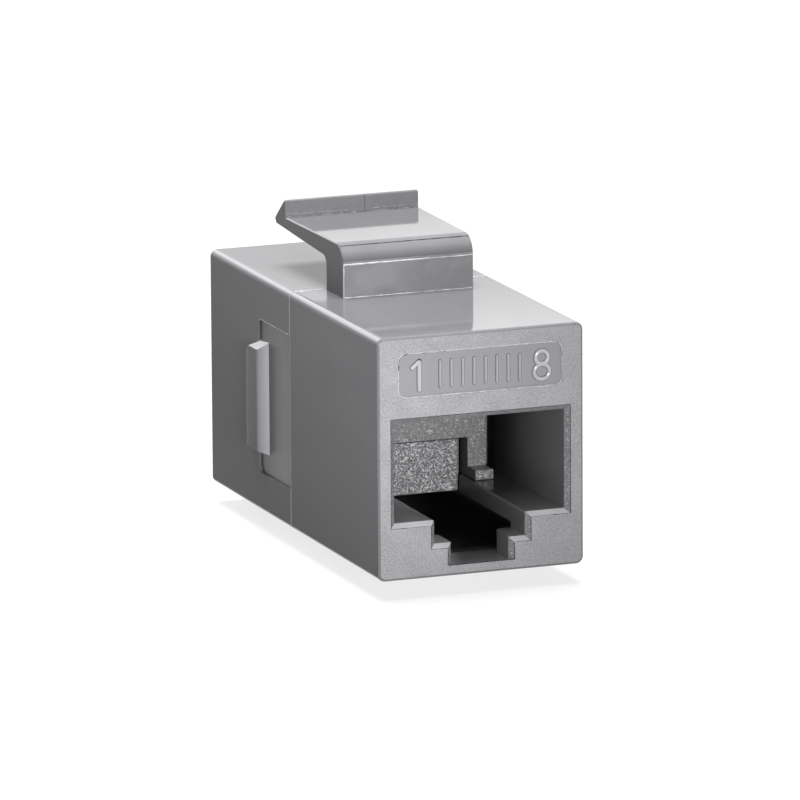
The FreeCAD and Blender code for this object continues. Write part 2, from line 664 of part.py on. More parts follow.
# Solder joints: an eight-sided cone round each tail where it leaves the board
def makeSolder():
    joints = []
    for rear in (False, True):
        half = "Rear" if rear else "Front"
        turn = -1 if rear else 1
        for number in range(1, int(value("contactCount")) + 1):
            height = highRow if number % 2 == 0 else lowRow
            across = f"{turn} * contactPitch * ({number} - (contactCount + 1) / 2)"
            ring = doc.addObject("Part::RegularPolygon", f"{half}Ring{number}")
            ring.Polygon = 8
            ring.setExpression("Circumradius", bound("solderRadius"))
            cone = doc.addObject("Part::Extrusion", f"{half}Solder{number}")
            cone.Base = ring
            cone.DirMode = "Custom"
            cone.Dir = FreeCAD.Vector(0, 0, 1)
            cone.Solid = True
            cone.setExpression("LengthFwd", bound("solderHeight"))
            cone.setExpression("TaperAngle", bound("-atan((solderRadius - solderTip) / solderHeight)"))
            cone.Placement = FreeCAD.Placement(FreeCAD.Vector(), FreeCAD.Rotation(0, 0, -90 * turn))
            cone.setExpression("Placement.Base.x", bound(across))
            cone.setExpression("Placement.Base.y", bound(f"{turn} * boardThickness / 2"))
            cone.setExpression("Placement.Base.z", bound(f"lugHeight + {height}"))
            tail = doc.addObject("Part::Box", f"{half}Tail{number}")
            tail.setExpression("Length", bound("contactWidth"))
            tail.setExpression("Width", bound("3 * solderHeight"))
            tail.setExpression("Height", bound("contactThickness"))
            tail.setExpression("Placement.Base.x", bound(f"{across} - contactWidth / 2"))
            lead = "solderHeight" if turn > 0 else "2 * solderHeight"
            tail.setExpression("Placement.Base.y", bound(f"{turn} * boardThickness / 2 - {lead}"))
            tail.setExpression("Placement.Base.z", bound(f"lugHeight + {height} - contactThickness / 2"))
            joint = doc.addObject("Part::Cut", f"{half}Joint{number}")
            joint.Base = cone
            joint.Tool = tail
            joints.append(joint)
    solder = doc.addObject("Part::Compound", "solder_joints")
    solder.Label = "solder_joints"
    solder.Links = joints
    return solder


pieces = [makeFrontHousing(), makeRearHousing()]
pieces += [makeInsert("front_insert", False), makeInsert("rear_insert", True), makeBoard()]
for number in range(1, int(value("contactCount")) + 1):
    pieces.append(makeContact(f"front_contact_{number}", number, False))
    pieces.append(makeContact(f"rear_contact_{number}", number, True))
pieces.append(makeSolder())
doc.recompute()

for thing in doc.Objects:
    if "Invalid" in thing.State or "Error" in thing.State:
        raise ValueError(f"{thing.Name} failed: {thing.State}")
for piece in pieces:
    if piece.Shape.isNull() or not piece.Shape.isValid():
        raise ValueError(f"{piece.Label} has no valid shape")
for piece in pieces:
    piece.Shape.exportStep(f"parts/{piece.Label}.step")
    corner = piece.Shape.BoundBox
    print(f"{piece.Label}: {len(piece.Shape.Solids)} solids, {piece.Shape.Volume:.3f} mm3, "
          f"x {corner.XMin:.2f} to {corner.XMax:.2f}, y {corner.YMin:.2f} to {corner.YMax:.2f}, "
          f"z {corner.ZMin:.2f} to {corner.ZMax:.2f}")
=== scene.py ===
import math
import bmesh
import bpy
from mathutils import Matrix, Vector


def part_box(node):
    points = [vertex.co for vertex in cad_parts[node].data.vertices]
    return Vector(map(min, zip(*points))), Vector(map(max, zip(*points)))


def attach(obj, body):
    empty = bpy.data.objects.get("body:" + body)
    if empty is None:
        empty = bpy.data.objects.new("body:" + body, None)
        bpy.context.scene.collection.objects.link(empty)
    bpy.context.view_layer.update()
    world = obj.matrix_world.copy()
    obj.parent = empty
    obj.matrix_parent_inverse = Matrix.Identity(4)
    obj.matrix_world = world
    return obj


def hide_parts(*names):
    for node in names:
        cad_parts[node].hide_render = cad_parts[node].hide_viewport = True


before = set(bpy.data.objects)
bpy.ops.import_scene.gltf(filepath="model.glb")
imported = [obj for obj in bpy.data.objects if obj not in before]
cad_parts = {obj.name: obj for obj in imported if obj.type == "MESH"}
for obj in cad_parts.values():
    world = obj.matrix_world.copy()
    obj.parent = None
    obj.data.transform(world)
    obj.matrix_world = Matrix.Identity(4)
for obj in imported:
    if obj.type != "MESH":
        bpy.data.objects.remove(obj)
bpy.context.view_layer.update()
mm = 0.001

print("stage 1: frame loaded")


def spot(x, y, z):
    return Vector((x * mm, y * mm, z * mm))


def linked(name, data):
    item = bpy.data.objects.new(name, data)
    bpy.context.collection.objects.link(item)
    return item


# Overall places read from the frame, in millimetres
frontLow, frontHigh = [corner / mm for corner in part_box("front_housing")]
rearLow, rearHigh = [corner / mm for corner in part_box("rear_housing")]
place = {
    "face": frontLow.y,
    "rearFace": rearHigh.y,
    "underside": rearLow.z,
    "roof": rearHigh.z,
    "side": frontHigh.x,
    "seam": rearLow.y,
}


# Camera at the photograph's angle, solved from the edges of the body
cameraSet = {
    "azimuth": -20.9427,
    "elevation": 12.3815,
    "roll": -0.3567,
    "focal": 9746.1,  # in pixels of an 800 pixel frame
    "framePixels": 800,
    "sensor": 36.0,
    "distance": 652.71,
    "offset": (-0.0595, -0.5944),
    "target": (0.0, 15.0, 8.0),  # from the front face and the underside
    "clipStart": 0.01,  # in metres
    "clipEnd": 20,
}


def makeCamera():
    a = math.radians(cameraSet["azimuth"])
    e = math.radians(cameraSet["elevation"])
    turn = math.radians(cameraSet["roll"])
    forward = Vector((-math.sin(a) * math.cos(e), math.cos(a) * math.cos(e), -math.sin(e)))
    level = forward.cross(Vector((0, 0, 1))).normalized()
    upright = level.cross(forward)
    across = math.cos(turn) * level + math.sin(turn) * upright
    up = math.cos(turn) * upright - math.sin(turn) * level
    x, y, z = cameraSet["target"]
    target = Vector((x, y + place["face"], z + place["underside"]))
    offsetAcross, offsetUp = cameraSet["offset"]
    eye = target - offsetAcross * across - offsetUp * up - cameraSet["distance"] * forward
    data = bpy.data.cameras.new("photoCamera")
    data.sensor_width = cameraSet["sensor"]
    data.lens = cameraSet["focal"] / cameraSet["framePixels"] * cameraSet["sensor"]
    data.clip_start = cameraSet["clipStart"]
    data.clip_end = cameraSet["clipEnd"]
    camera = linked("photoCamera", data)
    camera.matrix_world = Matrix((across, up, -forward)).transposed().to_4x4()
    camera.location = eye * mm
    bpy.context.scene.camera = camera


makeCamera()
print("stage 2: camera placed")


# Node helpers
def newNode(tree, kind, **settings):
    node = tree.nodes.new(kind)
    for key, setting in settings.items():
        setattr(node, key, setting)
    return node


# An input gets a link from another socket, or else a plain value
def feed(tree, socket, value):
    if isinstance(value, bpy.types.NodeSocket):
        tree.links.new(value, socket)
    else:
        socket.default_value = value


def fill(tree, node, values):
    for label, value in values.items():
        feed(tree, node.inputs[label], value)


# Shader group of number sockets: inputs with their start values, then outputs
def newGroup(name, inputs, outputs):
    group = bpy.data.node_groups.new(name, "ShaderNodeTree")
    for label, start in inputs.items():
        socket = group.interface.new_socket(label, in_out="INPUT", socket_type="NodeSocketFloat")
        socket.default_value = start
    for label in outputs:
        group.interface.new_socket(label, in_out="OUTPUT", socket_type="NodeSocketFloat")
    return group, group.nodes.new("NodeGroupInput"), group.nodes.new("NodeGroupOutput")


def groupNode(tree, group, values):
    node = newNode(tree, "ShaderNodeGroup", node_tree=group)
    fill(tree, node, values)
    return node


def mathNode(tree, operation, *values):
    node = newNode(tree, "ShaderNodeMath", operation=operation)
    for socket, value in zip(node.inputs, values):
        feed(tree, socket, value)
    return node.outputs[0]


def rangeNode(tree, value, low, high, outLow=0.0, outHigh=1.0, smooth=True):
    node = newNode(tree, "ShaderNodeMapRange", interpolation_type="SMOOTHSTEP" if smooth else "LINEAR")
    limits = {"From Min": low, "From Max": high, "To Min": outLow, "To Max": outHigh}
    fill(tree, node, {"Value": value, **limits})
    return node.outputs["Result"]


# Object coordinates in millimetres
def millimetres(tree):
    where = newNode(tree, "ShaderNodeTexCoord")
    scale = newNode(tree, "ShaderNodeVectorMath", operation="SCALE")
    scale.inputs["Scale"].default_value = 1 / mm
    tree.links.new(where.outputs["Object"], scale.inputs[0])
    return scale.outputs["Vector"]


def coordinates(tree):
    parts = newNode(tree, "ShaderNodeSeparateXYZ")
    tree.links.new(millimetres(tree), parts.inputs[0])
    return parts.outputs


noiseMiddle = 0.5


def noiseNode(tree, where, scale, detail, rough=0.5):
    node = newNode(tree, "ShaderNodeTexNoise")
    fill(tree, node, {"Vector": where, "Scale": scale, "Detail": detail, "Roughness": rough})
    return node.outputs["Fac"]


skinOutputs = ("Height", "Glint", "Tone")


# Values of the skins: coarse, glint and patch scales are shares of the grain, and a noise that is given
# by three numbers has its scale, detail and roughness
sparkSet = {
    "fineDetail": 3.0,
    "fineRough": 0.65,
    "coarseScale": 0.4,
    "coarseDetail": 1.0,
    "coarseHeight": 0.6,
    "glintScale": 1.3,
    "glintDetail": 1.0,
    "glintRough": 0.4,
    "glintFull": 0.8,
    "cloud": (0.5, 3.0, 0.5),
    "cloudTone": 0.25,
    "fineTone": 0.75,
}
mouldSet = {
    "stretch": (1.0, 0.25, 1.0),
    "flow": (0.4, 3.0, 0.6),
    "fine": (12.0, 2.0, 0.6),
    "hair": (7.0, 5.0, 0.7),
    "scuffRange": (0.62, 0.8),
    "flowHeight": 3.0,
}
wormSet = {
    "waveDetail": 2.0,
    "waveRough": 0.6,
    "patchScale": 1.7,
    "patchDetail": 1.0,
    "patchRange": (0.46, 0.62),
    "fine": (9.0, 2.0, 0.6),
    "fineHeight": 0.35,
    "crestTone": 0.5,
    "fineTone": 0.6,
}


# Spark-eroded skin: fine pits and grains; its Glint mask marks grains that the plastics paint lighter as
# painted glints
def makeSparkGroup():
    group, start, end = newGroup("sparkSkin", {"Grain": 9.0, "Share": 0.6}, skinOutputs)
    where = millimetres(group)
    grain = start.outputs["Grain"]
    fine = noiseNode(group, where, grain, sparkSet["fineDetail"], sparkSet["fineRough"])
    coarseScale = mathNode(group, "MULTIPLY", grain, sparkSet["coarseScale"])
    coarse = noiseNode(group, where, coarseScale, sparkSet["coarseDetail"])
    height = mathNode(group, "MULTIPLY_ADD", coarse, sparkSet["coarseHeight"], fine)
    glintScale = mathNode(group, "MULTIPLY", grain, sparkSet["glintScale"])
    grains = noiseNode(group, where, glintScale, sparkSet["glintDetail"], sparkSet["glintRough"])
    glint = rangeNode(group, grains, start.outputs["Share"], sparkSet["glintFull"])
    cloud = mathNode(group, "MULTIPLY", noiseNode(group, where, *sparkSet["cloud"]), sparkSet["cloudTone"])
    tone = mathNode(group, "MULTIPLY_ADD", fine, sparkSet["fineTone"], cloud)
    fill(group, end, {"Height": height, "Glint": glint, "Tone": tone})
    return group


# Moulded gloss: faint flow marks, fine grain and hairline scuffs
def makeMouldGroup():
    group, start, end = newGroup("mouldSkin", {"Scuff": 0.3}, skinOutputs)
    where = millimetres(group)
    stretch = newNode(group, "ShaderNodeVectorMath", operation="MULTIPLY")
    stretch.inputs[1].default_value = mouldSet["stretch"]
    group.links.new(where, stretch.inputs[0])
    flow = noiseNode(group, stretch.outputs["Vector"], *mouldSet["flow"])
    fine = noiseNode(group, where, *mouldSet["fine"])
    hair = noiseNode(group, stretch.outputs["Vector"], *mouldSet["hair"])
    scuffs = rangeNode(group, hair, *mouldSet["scuffRange"])
    marks = mathNode(group, "MULTIPLY", scuffs, start.outputs["Scuff"])
    height = mathNode(group, "MULTIPLY_ADD", flow, mouldSet["flowHeight"], fine)
    fill(group, end, {"Height": height, "Glint": marks, "Tone": flow})
    return group


# Coarse eroded skin of the sunk panel: short crooked crests, painted lighter in tone, and a Glint mask on
# some of them that the plastics paint lighter as painted glints
def makeWormGroup():
    group, start, end = newGroup("wormSkin", {"Grain": 3.0, "Width": 0.04}, skinOutputs)
    where = millimetres(group)
    grain = start.outputs["Grain"]
    waves = noiseNode(group, where, grain, wormSet["waveDetail"], wormSet["waveRough"])
    offset = mathNode(group, "ABSOLUTE", mathNode(group, "SUBTRACT", waves, noiseMiddle))
    crest = rangeNode(group, offset, 0.0, start.outputs["Width"], 1.0, 0.0)
    patchScale = mathNode(group, "MULTIPLY", grain, wormSet["patchScale"])
    patchNoise = noiseNode(group, where, patchScale, wormSet["patchDetail"])
    glint = mathNode(group, "MULTIPLY", crest, rangeNode(group, patchNoise, *wormSet["patchRange"]))
    fine = noiseNode(group, where, *wormSet["fine"])
    height = mathNode(group, "MULTIPLY_ADD", fine, wormSet["fineHeight"], crest)
    fineTone = mathNode(group, "MULTIPLY", fine, wormSet["fineTone"])
    tone = mathNode(group, "MULTIPLY_ADD", crest, wormSet["crestTone"], fineTone)
    fill(group, end, {"Height": height, "Glint": glint, "Tone": tone})
    return group


# Painted light or shade by depth: one at the faces' side of a depth range, zero past it; depths are from the
# nearer face
def makeDepthGroup():
    group, start, end = newGroup("paintedDepthLightShade", {"Near": 12.8, "Far": 13.1}, ["Open"])
    along = mathNode(group, "ABSOLUTE", coordinates(group)["Y"])
    depth = mathNode(group, "SUBTRACT", -place["face"], along)
    shade = rangeNode(group, depth, start.outputs["Near"], start.outputs["Far"], 1.0, 0.0)
    fill(group, end, {"Open": shade})
    return group


# Painted shade by height: zero below a height and one above another; Slope tips the limit along the depth
def makeHeightGroup():
    group, start, end = newGroup("paintedHeightShade", {"Low": 0.0, "High": 0.0, "Slope": 0.0}, ["Lit"])
    parts = coordinates(group)
    tipped = mathNode(group, "MULTIPLY", parts["Y"], start.outputs["Slope"])
    height = mathNode(group, "SUBTRACT", parts["Z"], tipped)
    lit = rangeNode(group, height, start.outputs["Low"], start.outputs["High"], smooth=False)
    fill(group, end, {"Lit": lit})
    return group


sparkGroup = makeSparkGroup()
mouldGroup = makeMouldGroup()
wormGroup = makeWormGroup()
paintedDepthGroup = makeDepthGroup()
paintedHeightGroup = makeHeightGroup()


def blankMaterial(name):
    material = bpy.data.materials.new(name)
    material.use_nodes = True
    tree = material.node_tree
    return material, tree, tree.nodes["Principled BSDF"]


def mixColour(tree, factor, first, second):
    node = newNode(tree, "ShaderNodeMix", data_type="RGBA")
    tree.links.new(factor, node.inputs["Factor"])
    for label, value in (("A", first), ("B", second)):
        feed(tree, [s for s in node.inputs if s.name == label and s.type == "RGBA"][0], value)
    return [s for s in node.outputs if s.type == "RGBA"][0]


# Grey with a faint blue tint
def grey(level, tint=0.03):
    return (level * (1 - tint / 2), level * (1 - tint / 2), level * (1 + tint), 1.0)


# Bump from a height, with its depth in millimetres
def addBump(tree, shader, height, strength, depth):
    bump = newNode(tree, "ShaderNodeBump")
    fill(tree, bump, {"Strength": strength, "Distance": depth * mm, "Height": height})
    tree.links.new(bump.outputs["Normal"], shader.inputs["Normal"])


toneRange = (0.3, 0.7)  # of a skin's tone, from its dark tone to its light one


# Plastic whose skin group drives its colour, roughness and bump. Its values are the dark and light tones,
# the share and tone of the skin's Glint mask (lighter scuffs on moulded skins, painted glints on eroded
# ones), the roughness without and with them, and the bump's strength and depth; heights and depths paint
# light or shade
def plastic(name, group, values):
    material, tree, shader = blankMaterial(name)
    skin = groupNode(tree, group, values["skin"])
    glint = skin.outputs["Glint"]
    low, high = values.get("toneRange", toneRange)
    dark, light = [grey(level) for level in values["tones"]]
    colour = mixColour(tree, rangeNode(tree, skin.outputs["Tone"], low, high, smooth=False), dark, light)
    share, glintLevel = values["glint"]
    colour = mixColour(tree, mathNode(tree, "MULTIPLY", glint, share), colour, grey(glintLevel))
    # painted shade: colour goes towards lowLevel below the given heights
    if "heights" in values:
        shade = groupNode(tree, paintedHeightGroup, dict(zip(("Low", "High", "Slope"), values["heights"])))
        colour = mixColour(tree, shade.outputs["Lit"], grey(values["lowLevel"]), colour)
    # painted light or shade: colour goes to each level past its depth range
    for near, far, level in values.get("depths", []):
        shade = groupNode(tree, paintedDepthGroup, {"Near": near, "Far": far})
        colour = mixColour(tree, shade.outputs["Open"], grey(level), colour)
    rough = rangeNode(tree, glint, 0.0, 1.0, *values["rough"], smooth=False)
    fill(tree, shader, {"Base Color": colour, "Roughness": rough, "Specular IOR Level": values["specular"]})
    addBump(tree, shader, skin.outputs["Height"], *values["bump"])
    return material


smoothPlastic = plastic("smoothPlastic", mouldGroup, {
    "skin": {"Scuff": 0.3}, "tones": (0.2, 0.215), "glint": (0.2, 0.35),
    "rough": (0.05, 0.18), "specular": 0.5, "bump": (0.25, 0.002),
})
# Sides: painted shade, the colour darker towards the bottom and the rear
satinShadedPlastic = plastic("satinShadedPlastic", mouldGroup, {
    "skin": {"Scuff": 0.5}, "tones": (0.217, 0.237), "glint": (0.1, 0.3),
    "rough": (0.38, 0.45), "specular": 0.05, "bump": (0.3, 0.003),
    "heights": (3.0, 20.0, 0.4), "lowLevel": 0.13,
})
# Darker copy of the side plastic on the latch's sides and the forward walls of the side fields, as painted
# shade
shadedSidePlastic = plastic("shadedSidePlastic", mouldGroup, {
    "skin": {"Scuff": 0.5}, "tones": (0.11, 0.13), "glint": (0.1, 0.3),
    "rough": (0.38, 0.45), "specular": 0.12, "bump": (0.3, 0.003),
})
# Latch bend: painted shade, darker towards the lower part of the bend
shadedBendPlastic = plastic("shadedBendPlastic", mouldGroup, {
    "skin": {"Scuff": 0.6}, "tones": (0.21, 0.24), "glint": (0.3, 0.4),
    "rough": (0.24, 0.35), "specular": 0.4, "bump": (0.4, 0.004),
    "heights": (19.9, 20.7, 0.0), "lowLevel": 0.11,
})
# Socket walls and carrier slots: painted shade, darker with depth and near black past the panel
socketShadePlastic = plastic("socketShadePlastic", mouldGroup, {
    "skin": {"Scuff": 0.5}, "tones": (0.25, 0.28), "glint": (0.1, 0.3),
    "rough": (0.34, 0.45), "specular": 0.1, "bump": (0.3, 0.003),
    "depths": [(0.0, 13.0, 0.03), (12.7, 12.9, 0.006)],
})
# Ledge tops: glossier, with painted shade darker towards the rear
ledgeShadePlastic = plastic("ledgeShadePlastic", mouldGroup, {
    "skin": {"Scuff": 0.9}, "tones": (0.24, 0.3), "glint": (0.4, 0.5),
    "rough": (0.14, 0.28), "specular": 0.4, "bump": (0.5, 0.006),
    "depths": [(0.4, 9.0, 0.06)],
})
# Floor of the key channel past its lip: painted shade, near black with depth
deepShadePlastic = plastic("deepShadePlastic", mouldGroup, {
    "skin": {"Scuff": 0.2}, "tones": (0.1, 0.14), "glint": (0.1, 0.2),
    "rough": (0.4, 0.45), "specular": 0.05, "bump": (0.3, 0.003),
    "depths": [(3.3, 5.6, 0.004)],
})
# Floors of the sunk side fields: painted shade, darker towards the rear and lighter near the seam
recessShadePlastic = plastic("recessShadePlastic", mouldGroup, {
    "skin": {"Scuff": 0.4}, "tones": (0.085, 0.1), "glint": (0.2, 0.25),
    "rough": (0.3, 0.38), "specular": 0.15, "bump": (0.3, 0.003),
    "depths": [(8.8, 15.6, 0.185)],
})
# Forward slope of each side ridge: painted light, lighter towards its front end
ridgeLitPlastic = plastic("ridgeLitPlastic", mouldGroup, {
    "skin": {"Scuff": 0.5}, "tones": (0.16, 0.19), "glint": (0.2, 0.4),
    "rough": (0.22, 0.32), "specular": 0.4, "bump": (0.3, 0.003),
    "depths": [(10.35, 11.1, 0.34)],
})
sparkPlastic = plastic("sparkPlastic", sparkGroup, {
    "skin": {"Grain": 8.0, "Share": 0.62}, "tones": (0.28, 0.42), "toneRange": (0.4, 0.6),
    "glint": (0.4, 0.6), "rough": (0.5, 0.35), "specular": 0.5, "bump": (0.8, 0.035),
})
bevelPlastic = plastic("bevelPlastic", sparkGroup, {
    "skin": {"Grain": 6.5, "Share": 0.55}, "tones": (0.16, 0.28), "toneRange": (0.38, 0.62),
    "glint": (0.7, 0.7), "rough": (0.38, 0.22), "specular": 0.5, "bump": (0.7, 0.04),
})
# Upward-facing socket bevels: a lighter copy of the bevel finish, as painted light
litSillPlastic = plastic("litSillPlastic", mouldGroup, {
    "skin": {"Scuff": 0.8}, "tones": (0.42, 0.52), "glint": (0.5, 0.6),
    "rough": (0.3, 0.2), "specular": 0.5, "bump": (0.4, 0.006),
})
labelPlastic = plastic("labelPlastic", sparkGroup, {
    "skin": {"Grain": 14.0, "Share": 0.66}, "tones": (0.28, 0.305), "glint": (0.2, 0.4),
    "rough": (0.42, 0.3), "specular": 0.5, "bump": (0.25, 0.01),
})
# Seam bevel and light seam and lip threads: painted highlights
seamHighlightPlastic = plastic("seamHighlightPlastic", mouldGroup, {
    "skin": {"Scuff": 0.6}, "tones": (0.36, 0.42), "glint": (0.5, 0.6),
    "rough": (0.35, 0.4), "specular": 0.4, "bump": (0.2, 0.003),
})
# Dark threads: painted shadow lines, the lip's mould line among them
shadowLinePlastic = plastic("shadowLinePlastic", mouldGroup, {
    "skin": {"Scuff": 0.2}, "tones": (0.05, 0.08), "glint": (0.1, 0.1),
    "rough": (0.5, 0.5), "specular": 0.1, "bump": (0.2, 0.003),
})
# Pin marks: lighter than the label as a painted highlight, with painted shade darker towards each stroke's
# base
litMarkPlastic = plastic("litMarkPlastic", mouldGroup, {
    "skin": {"Scuff": 0.6}, "tones": (0.43, 0.52), "glint": (0.4, 0.7),
    "rough": (0.12, 0.25), "specular": 0.8, "bump": (0.4, 0.004),
    "depths": [(0.02, 0.15, 0.1)],
})
lipPlastic = plastic("lipPlastic", sparkGroup, {
    "skin": {"Grain": 8.0, "Share": 0.66}, "tones": (0.17, 0.23), "toneRange": (0.32, 0.68),
    "glint": (0.2, 0.4), "rough": (0.36, 0.3), "specular": 0.4, "bump": (0.5, 0.02),
})
wallPlastic = plastic("wallPlastic", mouldGroup, {
    "skin": {"Scuff": 0.7}, "tones": (0.2, 0.25), "toneRange": (0.38, 0.62),
    "glint": (0.3, 0.4), "rough": (0.24, 0.35), "specular": 0.4, "bump": (0.5, 0.01),
})
# Light threads along edges and flash: painted highlights
flashHighlightPlastic = plastic("flashHighlightPlastic", sparkGroup, {
    "skin": {"Grain": 9.0, "Share": 0.4}, "tones": (0.5, 0.66), "glint": (0.7, 0.9),
    "rough": (0.3, 0.2), "specular": 0.5, "bump": (0.5, 0.01),
})
insertPlastic = plastic("insertPlastic", wormGroup, {
    "skin": {"Grain": 4.0, "Width": 0.04}, "tones": (0.165, 0.32), "toneRange": (0.25, 0.9),
    "glint": (0.8, 0.75), "rough": (0.38, 0.2), "specular": 0.5, "bump": (0.5, 0.03),
})
panelPlastic = plastic("panelPlastic", wormGroup, {
    "skin": {"Grain": 3.6, "Width": 0.07}, "tones": (0.13, 0.44), "toneRange": (0.25, 0.9),
    "glint": (0.9, 0.9), "rough": (0.36, 0.2), "specular": 0.5, "bump": (0.6, 0.04),
})


# Metal and laminate of the pieces inside
def makeMetal(name, values):
    material, tree, shader = blankMaterial(name)
    skin = groupNode(tree, mouldGroup, {"Scuff": values["scuff"]})
    tone = rangeNode(tree, skin.outputs["Tone"], *toneRange)
    darker = tuple(part * values["shade"] for part in values["colour"][:3]) + (1.0,)
    colour = mixColour(tree, tone, darker, values["colour"])
    rough = rangeNode(tree, skin.outputs["Glint"], 0.0, 1.0, *values["rough"], smooth=False)
    fill(tree, shader, {"Base Color": colour, "Roughness": rough, "Metallic": 1.0})
    addBump(tree, shader, skin.outputs["Height"], *values["bump"])
    return material


contactMetal = makeMetal("contactMetal", {
    "colour": (0.85, 0.62, 0.25, 1.0), "shade": 0.85, "scuff": 0.6,
    "rough": (0.2, 0.45), "bump": (0.4, 0.002),
})
solderMetal = makeMetal("solderMetal", {
    "colour": (0.72, 0.73, 0.75, 1.0), "shade": 0.8, "scuff": 0.9,
    "rough": (0.28, 0.53), "bump": (1.0, 0.002),
})
laminateSet = {
    "dark": (0.012, 0.07, 0.03, 1.0),
    "light": (0.02, 0.1, 0.045, 1.0),
    "scuff": 0.5,
    "weave": 1.2,
    "distortion": 1.5,
    "rough": (0.3, 0.42),
    "bump": (1.0, 0.004),
}


def makeLaminate():
    material, tree, shader = blankMaterial("boardLaminate")
    skin = groupNode(tree, mouldGroup, {"Scuff": laminateSet["scuff"]})
    weave = newNode(tree, "ShaderNodeTexWave", wave_type="BANDS", bands_direction="X")
    pattern = {"Scale": laminateSet["weave"], "Distortion": laminateSet["distortion"]}
    fill(tree, weave, {"Vector": millimetres(tree), **pattern})
    colour = mixColour(tree, weave.outputs["Fac"], laminateSet["dark"], laminateSet["light"])
    rough = rangeNode(tree, skin.outputs["Tone"], *toneRange, *laminateSet["rough"])
    fill(tree, shader, {"Base Color": colour, "Roughness": rough})
    addBump(tree, shader, weave.outputs["Fac"], *laminateSet["bump"])
    return material


boardLaminate = makeLaminate()
print("stage 3: materials made")


# Housing shells: merged copies of the solids, so that each moulded zone gets its own finish; several zones
# take lit or shaded copies of a plastic as painted light or shade
mergeSet = {
    "mergeWithin": 0.0002,
    "flatAngle": 0.3,
    "creaseAngle": 28.0,
    "normalWeight": 100,
}


def mergedCopy(nodeName, pieceName, finishes, finishOf):
    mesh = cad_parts[nodeName].data.copy()
    piece = linked(pieceName, mesh)
    work = bmesh.new()
    work.from_mesh(mesh)
    bmesh.ops.remove_doubles(work, verts=work.verts, dist=mergeSet["mergeWithin"] * mm)
    flatAngle = math.radians(mergeSet["flatAngle"])
    bmesh.ops.dissolve_limit(work, angle_limit=flatAngle, verts=work.verts, edges=work.edges)
    work.normal_update()
    crease = math.radians(mergeSet["creaseAngle"])
    for edge in work.edges:
        edge.smooth = edge.calc_face_angle(0.0) < crease
    for face in work.faces:
        face.smooth = True
    work.to_mesh(mesh)
    work.free()
    mesh.materials.clear()
    for finish in finishes:
        mesh.materials.append(finish)
    for polygon in mesh.polygons:
        polygon.material_index = finishes.index(finishOf(polygon))
    return piece


# Turns the evaluated object into a plain mesh and drops its modifiers
def plainMesh(piece):
    bpy.context.view_layer.update()
    graph = bpy.context.evaluated_depsgraph_get()
    shape = piece.evaluated_get(graph)
    mesh = bpy.data.meshes.new_from_object(shape, preserve_all_data_layers=True, depsgraph=graph)
    if piece.type == "MESH":
        piece.modifiers.clear()
        piece.data = mesh
        return piece
    made = linked(piece.name + "Mesh", mesh)
    bpy.data.objects.remove(piece)
    return made


# Face-area weighted normals keep the flat walls flat beside their rounded edges
def steadyNormals(piece):
    modifier = piece.modifiers.new("steady", "WEIGHTED_NORMAL")
    modifier.mode = "FACE_AREA"
    modifier.weight = mergeSet["normalWeight"]
    modifier.keep_sharp = True
    return plainMesh(piece)


# Depths are from the face, heights from the underside, and the side field and its ridge start at the seam
shellZones = {
    "flat": 0.02,  # how near a face lies to its plane
    "square": 0.99,  # parts of a normal along an axis, from square to it down to level with it
    "steep": 0.9,
    "mostly": 0.8,
    "slanted": 0.5,
    "leaning": 0.3,
    "sloping": 0.15,
    "level": 0.1,
    "labelDepth": 0.15,
    "bevelDepth": 0.37,
    "seamBevel": 0.09,
    "socketHalf": 6.5,
    "socketLow": 0.3,
    "socketTop": 11.0,
    "keyTop": 1.0,
    "lipDepth": 3.35,
    "recess": 0.17,
    "recessStart": 0.1,
    "recessEnd": 6.2,
    "recessSlack": 0.01,
    "recessLow": 2.5,
    "recessHigh": 13.5,
    "ridgeFrom": 4.4,
    "ridgeTo": 5.3,
    "ridgeInset": 0.05,
    "latchAbove": 16.4,
    "bendBelow": 19.84,
}
shellFinishes = [
    smoothPlastic, sparkPlastic, bevelPlastic, labelPlastic, seamHighlightPlastic, satinShadedPlastic, socketShadePlastic,
    ledgeShadePlastic, deepShadePlastic, recessShadePlastic, litSillPlastic, ridgeLitPlastic, shadedSidePlastic, shadedBendPlastic,
    lipPlastic, wallPlastic,
]


def near(value, target, reach=shellZones["flat"]):
    return abs(value - target) < reach


